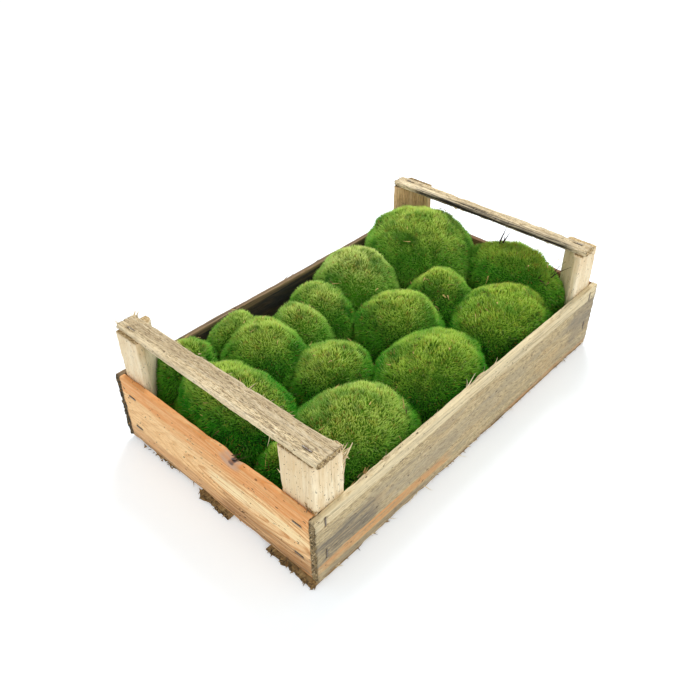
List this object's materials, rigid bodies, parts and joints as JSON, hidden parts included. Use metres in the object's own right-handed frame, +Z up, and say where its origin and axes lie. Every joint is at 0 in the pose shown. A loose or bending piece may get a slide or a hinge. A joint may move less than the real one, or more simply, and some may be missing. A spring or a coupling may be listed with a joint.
{
  "type": "cushion moss in wooden crate",
  "caption": "Shallow open crate of rough boards with a low handle rail across each end, packed with rounded cushions of green moss.",
  "frame": {"origin": "centre of the crate's footprint, on the floor under the bottom slats", "axes": "+X across the crate's width to the right, +Y along its length away from the front handle rail, +Z up"},
  "size_m": [0.3, 0.5, 0.155],
  "materials": {
    "slat_wood": "rough sawn, bark-brown and splintery",
    "dark_board_wood": "rough sawn, weathered dark brown",
    "pale_board_wood": "rough sawn, weathered beige and grey",
    "orange_board_wood": "rough sawn, honey orange with cathedral grain",
    "post_wood": "split and sawn, pale cream",
    "rail_wood": "rough sawn, weathered grey brown",
    "staple_steel": "dull galvanised wire",
    "moss_mid": "dense soft moss, mid green",
    "moss_pale": "dense soft moss, pale grey-green",
    "moss_deep": "dense soft moss, deeper green"
  },
  "bodies": {
    "root": {"slat_left": "slat_wood", "slat_middle": "slat_wood", "slat_right": "slat_wood", "side_left": "dark_board_wood", "side_right": "pale_board_wood", "end_front": "orange_board_wood", "end_back": "dark_board_wood", "post_front_left": "post_wood", "post_front_right": "post_wood", "post_back_left": "post_wood", "post_back_right": "post_wood", "rail_front": "rail_wood", "rail_back": "rail_wood", "moss_back_left": "moss_mid", "moss_back_right": "moss_deep", "moss_left_pale": "moss_pale", "moss_back_small": "moss_mid", "moss_centre": "moss_mid", "moss_left_upper": "moss_pale", "moss_left_lower": "moss_pale", "moss_right_back": "moss_deep", "moss_left_edge": "moss_pale", "moss_left_front": "moss_mid", "moss_front_left": "moss_mid", "moss_centre_front": "moss_mid", "moss_right_middle": "moss_deep", "moss_front": "moss_mid", "moss_front_right": "moss_mid", "moss_front_small": "moss_deep", "staple_front_left_end_low": "staple_steel", "staple_front_left_end_high": "staple_steel", "staple_front_left_side_low": "staple_steel", "staple_front_left_side_high": "staple_steel", "staple_front_left_rail": "staple_steel", "staple_front_right_end_low": "staple_steel", "staple_front_right_end_high": "staple_steel", "staple_front_right_side_low": "staple_steel", "staple_front_right_side_high": "staple_steel", "staple_front_right_rail": "staple_steel", "staple_back_left_end_low": "staple_steel", "staple_back_left_end_high": "staple_steel", "staple_back_left_side_low": "staple_steel", "staple_back_left_side_high": "staple_steel", "staple_back_left_rail": "staple_steel", "staple_back_right_end_low": "staple_steel", "staple_back_right_end_high": "staple_steel", "staple_back_right_side_low": "staple_steel", "staple_back_right_side_high": "staple_steel", "staple_back_right_rail": "staple_steel", "staple_slat_left_front": "staple_steel", "staple_slat_left_back": "staple_steel", "staple_slat_middle_front": "staple_steel", "staple_slat_middle_back": "staple_steel", "staple_slat_right_front": "staple_steel", "staple_slat_right_back": "staple_steel"}
  },
  "joints": []
}
